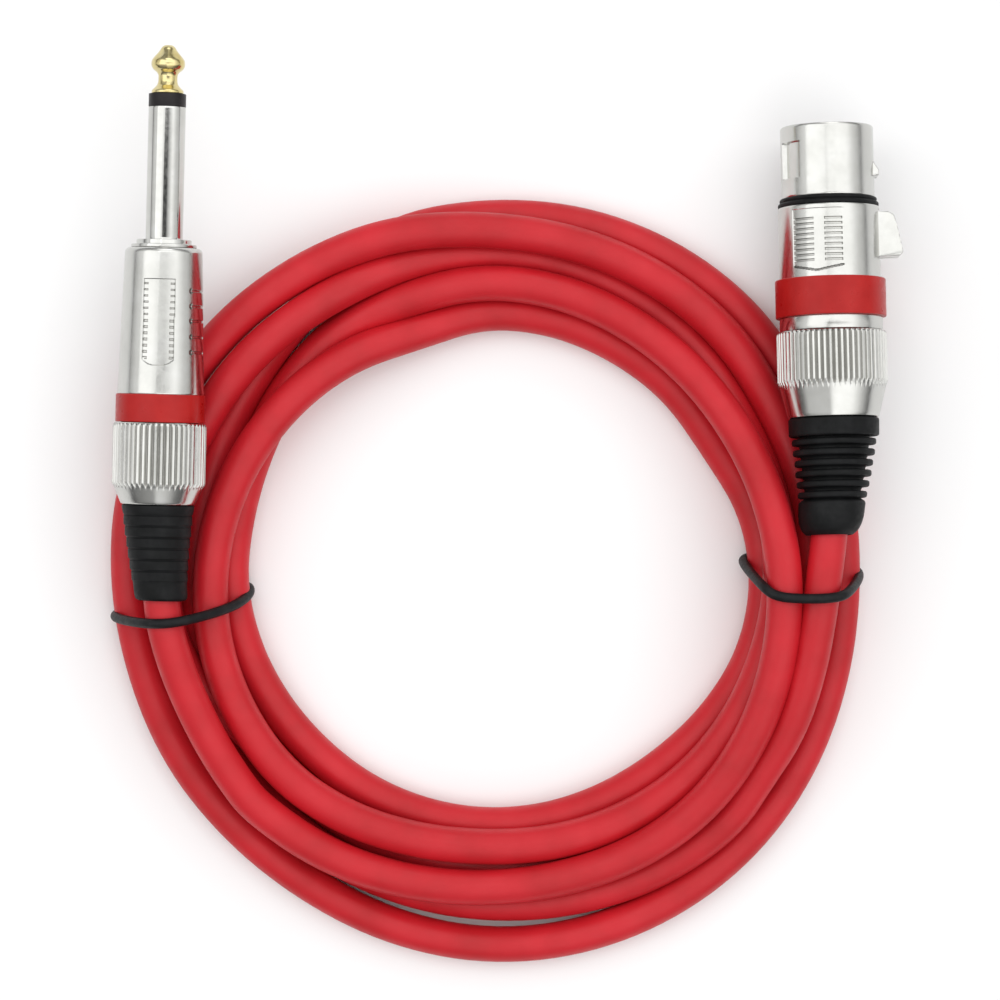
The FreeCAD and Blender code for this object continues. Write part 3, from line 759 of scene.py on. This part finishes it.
xlr_rear = [(7.2, 26.5), (7.5, 26.8), (7.5, 34.8), (8.8, 34.8), (8.8, XLR_RING_Z[0]),
            (XLR_SEAT_R, XLR_RING_Z[0]), (XLR_SEAT_R, XLR_RING_Z[1]), (BODY_R, XLR_RING_Z[1])]
xlr_profile = (eased(xlr_rear, 0.12, 2, closed=False) + rows_between(43.8, 55.8, BODY_R, BODY_R, 0.11)
               + [(8.6, 55.95), (8.5, SEAL_Z[0]), (SEAL_SEAT_R, SEAL_Z[0]), (SEAL_SEAT_R, SEAL_Z[1]),
                  (7.8, SEAL_Z[1]), (7.9, 57.65)]
               + rows_between(57.8, 69.4, NOSE_R, NOSE_R, 0.14)
               + [(7.93, 69.55), (7.85, 69.73), (7.7, 69.83), (7.55, 69.85), (7.2, 69.8), (7.0, 69.65)])
xlr_shell = cast_tube("xlr_shell_cast", XLR, xlr_profile, XLR_BORE_R, xlr_shell_form, xlr_openings)
add_piece(xlr_shell, "cable", "nickel", "xlr_shell")

# The latch from the side, as (x, z): its tail, its push tab with finger notches, its arm and its hook.
latch_outline = [(4.8, 45.8), (6.3, 45.8), (6.3, 47.4), (11.9, 47.4), (12.4, 48.0), (12.35, 48.7),
                 (12.1, 49.1), (12.15, 49.7), (11.85, 50.2), (11.9, 50.9), (11.6, 51.4), (11.65, 52.1),
                 (11.35, 52.6), (11.2, 53.8), (10.9, 54.5), (10.0, 55.0), (6.3, 55.0), (6.3, 61.2),
                 (8.6, 61.2), (8.6, 62.2), (7.2, 64.4), (5.3, 64.4), (5.3, 48.2), (4.8, 47.6)]
latch = plate("xlr_latch_lever", XLR, latch_outline, width=4.6, bevel=0.16)
add_piece(latch, "xlr_latch", "nickel", "xlr_latch")

# ---- jack ----
JACK_RIDGE_R = 7.95
JACK_GROOVE_R = 7.55
JACK_RIDGES = 48         # each drawn with 13 vertices
JACK_KNURL_Z = (17.5, 29.85)
jack_nut_outline = ([(5.6, 16.5), (5.7, 16.4), (6.2, 16.4), (6.35, 16.5)]
                    + rows_between(16.7, 19.4, 6.46, 7.66, 0.34)
                    + rows_between(19.5, 19.95, 7.73, JACK_RIDGE_R, 0.09)
                    + [(JACK_RIDGE_R, 22), (JACK_RIDGE_R, 25), (JACK_RIDGE_R, 28.6)]
                    + rows_between(29.0, 29.8, JACK_RIDGE_R, 7.92, 0.12)
                    + [(7.8, 30.1), (7.65, 30.25), (6.7, 30.25), (6.7, 18.5), (5.6, 18.5)])
jack_nut = turned("jack_nut_knurled", JACK, jack_nut_outline, 13 * JACK_RIDGES,
                  knurled(JACK_GROOVE_R, JACK_RIDGE_R, JACK_RIDGES, *JACK_KNURL_Z))
add_piece(jack_nut, "jack_nut", "nickel", "jack_nut")

jack_ribs = rib_rows(first_z=3.4, pitch=1.9, width=1.5, radii=[4.8, 5.0, 5.2, 5.4, 5.65, 5.85], depth=0.12)
jack_boot_outline = eased(
    [(3.55, 0), (4.0, 0), (4.4, 0.3), (4.55, 1.0), (4.6, 2.9)] + jack_ribs
    + [(6.0, 14.9), (6.25, 16.3), (5.5, 16.3), (5.5, 18.6), (6.6, 18.6), (6.6, 20.6), (5.4, 20.6),
       (4.4, 18.0), (3.28, 13.0)], 0.35, 4)
jack_boot = turned("jack_boot_ribbed", JACK, jack_boot_outline, 128, sharp=60, shift=JACK_BEND)
add_piece(jack_boot, "jack_boot", "black_rubber", "jack_boot")

# The jacket's end in the chuck, past the end of the cord.
jacket_outline = [(0, 29.3), (CABLE_R, 29.3), (CABLE_R, 36.0), (0, 36.0)]
jacket_end = turned("jack_jacket_end", JACK, jacket_outline, 64)
add_piece(jacket_end, "cable", "red_pvc")

JACK_SEAT_R = 7.0        # of the colour ring on the shell
JACK_RING_Z = (30.35, 35.1)
jack_ring = plain_ring("jack_ring_gloss", JACK, JACK_SEAT_R, 7.6, *JACK_RING_Z, rounding=0.2)
add_piece(jack_ring, "cable", "red_ring", "jack_colour_ring")

JACK_BORE_R = 5.6
SHELL_REAR_R = 7.35
SHELL_TAPER = 0.75       # how much less the radius is at the shell's front
SHELL_LENGTH = 24.1
SHELL_FRONT_Z = 59.2
LABEL_X = (-2.7, 2.6)    # the plain panel on top
LABEL_Z = (40.0, 54.6)
LABEL_DEPTH = 0.20
LABEL_CORNER = 2.0       # how far from its sides the lower corners begin to rise
LABEL_RISE = 0.9
NOTCH_PITCH = 1.05       # the short notches along the panel's sides
NOTCH_WIDTH = 0.32
NOTCH_LENGTH = 0.7
NOTCH_MARGIN = 0.4
NOTCH_DEPTH = 0.34
SIDE_GRIP_Z = (42.3, 44.9, 47.6, 50.1, 52.7)
SIDE_GRIP_TURNS = (49.0, 104.0)
SIDE_GRIP_HALF = 0.17
SIDE_GRIP_DEPTH = 0.26
PIT_R = 0.42             # the round pit at each groove's upper end
PIT_DEPTH = 0.40
PIT_TURNS = 4            # degrees that a pit can reach back from its groove's end


def jack_shell_form(r, z, turn):
    """The recessed panel with its notched sides on top, and the grip grooves at the right, with painted
    shade in its notches, pits and grooves.
    """
    a = math.radians(turn)
    x = r * math.sin(a)
    if math.cos(a) > 0 and LABEL_X[0] < x < LABEL_X[1]:
        from_side = min(x - LABEL_X[0], LABEL_X[1] - x)
        low = LABEL_Z[0] + LABEL_RISE * max(0.0, 1 - from_side / LABEL_CORNER) ** 2
        if low < z < LABEL_Z[1]:
            # painted shade in the panel's notches
            in_notch = (z - LABEL_Z[0]) % NOTCH_PITCH < NOTCH_WIDTH and from_side < NOTCH_LENGTH
            if in_notch and low + NOTCH_MARGIN < z < LABEL_Z[1] - NOTCH_MARGIN:
                return r - NOTCH_DEPTH, 0.6
            return r - LABEL_DEPTH, 0.0
    along = off_from(turn, SIDE_GRIP_TURNS[0])
    if -PIT_TURNS < along < SIDE_GRIP_TURNS[1] - SIDE_GRIP_TURNS[0]:
        nearest = min(abs(z - grip_z) for grip_z in SIDE_GRIP_Z)
        # painted shade: full in each pit, light along the grip grooves
        if math.hypot(nearest, math.radians(along) * r) < PIT_R:
            return r - PIT_DEPTH, 1.0
        if nearest < SIDE_GRIP_HALF and along > 0:
            return r - SIDE_GRIP_DEPTH, 0.25
    return r, 0.0


jack_rear = [(6.3, 22.0), (6.6, 22.3), (6.6, JACK_RING_Z[0]), (JACK_SEAT_R, JACK_RING_Z[0]),
             (JACK_SEAT_R, JACK_RING_Z[1]), (7.3, JACK_RING_Z[1])]
jack_taper = [(SHELL_REAR_R - SHELL_TAPER * (z - JACK_RING_Z[1]) / SHELL_LENGTH, z)
              for _, z in rows_between(35.25, SHELL_FRONT_Z, 0, 0, 0.13)]
jack_profile = (eased(jack_rear, 0.1, 2, closed=False) + jack_taper
                + [(6.5, 59.55), (6.3, 59.8), (6.05, 59.95), (5.8, 60.0), (5.7, 60.0)])
jack_shell = cast_tube("jack_shell_cast", JACK, jack_profile, JACK_BORE_R, jack_shell_form)
add_piece(jack_shell, "cable", "nickel", "jack_shell")

SLEEVE_R = 3.175         # half of the plug's standard 6.35 mm
SLEEVE_FRONT_Z = 84.0
TIP_REAR_Z = 86.2
jack_sleeve_outline = eased(
    [(2.1, 54.0), (5.2, 54.0), (5.2, 60.0), (5.6, 60.0), (5.6, 60.6), (4.7, 60.6), (4.7, 61.4),
     (SLEEVE_R, 61.4), (SLEEVE_R, SLEEVE_FRONT_Z), (2.1, SLEEVE_FRONT_Z)], 0.16)
jack_sleeve = turned("jack_sleeve_turned", JACK, jack_sleeve_outline, 160)
add_piece(jack_sleeve, "cable", "nickel", "jack_sleeve", finish="nickel_bright")

tip_ring = plain_ring("jack_ring_insulating", JACK, 1.1, SLEEVE_R, SLEEVE_FRONT_Z, TIP_REAR_Z,
                      rounding=0.1, count=128)
add_piece(tip_ring, "cable", "black_plastic", "jack_tip_ring")

rod_end = [(0, 50.9), (1.6, 50.9), (1.6, 51.6), (1.1, 51.6)]
nose = [(1.1, TIP_REAR_Z), (2.72, TIP_REAR_Z), (2.72, 86.75), (2.3, 87.15), (1.8, 87.7), (1.62, 88.3),
        (1.62, 89.35), (1.85, 89.8), (2.55, 90.35), (2.85, 90.9), (2.88, 91.4), (2.8, 91.9),
        (2.4, 92.45), (1.9, 93.0), (1.4, 93.65), (1.15, 94.1), (0.7, 94.45), (0, 94.5)]
tip_outline = rod_end + eased(nose, 0.2, 4, closed=False)
jack_tip = turned("jack_tip_gilt", JACK, tip_outline, 128, sharp=50)
add_piece(jack_tip, "cable", "gold", "jack_tip")

# ---- ties: closed bands, drawn tight round the strands ----
TIE_RIGHT = [(45.3, 4.0, TIE_R), (45.2, 2.9, 5.4), (47.4, -0.4, 18.4), (49.6, -2.3, 20.35),
             (54.8, -2.7, 20.35), (60.0, -2.5, 20.3), (62.3, -1.7, 17.9), (65.2, 0.7, 6.2),
             (65.2, 1.9, TIE_R), (61.5, 2.9, TIE_R), (49.2, 4.4, TIE_R)]
TIE_LEFT = [(-63.8, -5.6, TIE_R), (-63.7, -6.3, 7.6), (-57.0, -7.0, 19.4), (-51.6, -6.75, 19.6),
            (-43.6, -4.6, 11.9), (-40.5, -2.6, 5.6), (-40.5, -0.8, TIE_R), (-44.5, -0.6, TIE_R),
            (-60.0, -4.4, TIE_R)]
for tie_name, tie_points in (("tie_right", TIE_RIGHT), ("tie_left", TIE_LEFT)):
    tie = bent_bar(tie_name + "_band", tie_points, TIE_R, closed=True, resolution=12)
    add_piece(tie, "cable", "black_band", tie_name)

# ---- CAD nodes that stay as they are, inside the connectors ----
KEPT = {
    "xlr_insert": "black_plastic", "xlr_contact_1": "gold", "xlr_contact_2": "gold", "xlr_contact_3": "gold",
    "xlr_latch_pin": "steel", "xlr_latch_spring": "steel", "xlr_retaining_screw": "steel",
    "xlr_chuck": "grey_plastic", "xlr_cores": "white_plastic", "xlr_shield_wire": "copper",
    "jack_inner_insulator": "black_plastic", "jack_tip_lug": "copper", "jack_sleeve_lug": "copper",
    "jack_insulating_tube": "grey_plastic", "jack_chuck": "grey_plastic", "jack_core": "white_plastic",
    "jack_shield_wire": "copper",
}
for node, finish in KEPT.items():
    dress(frame["nodes"][node], finish)
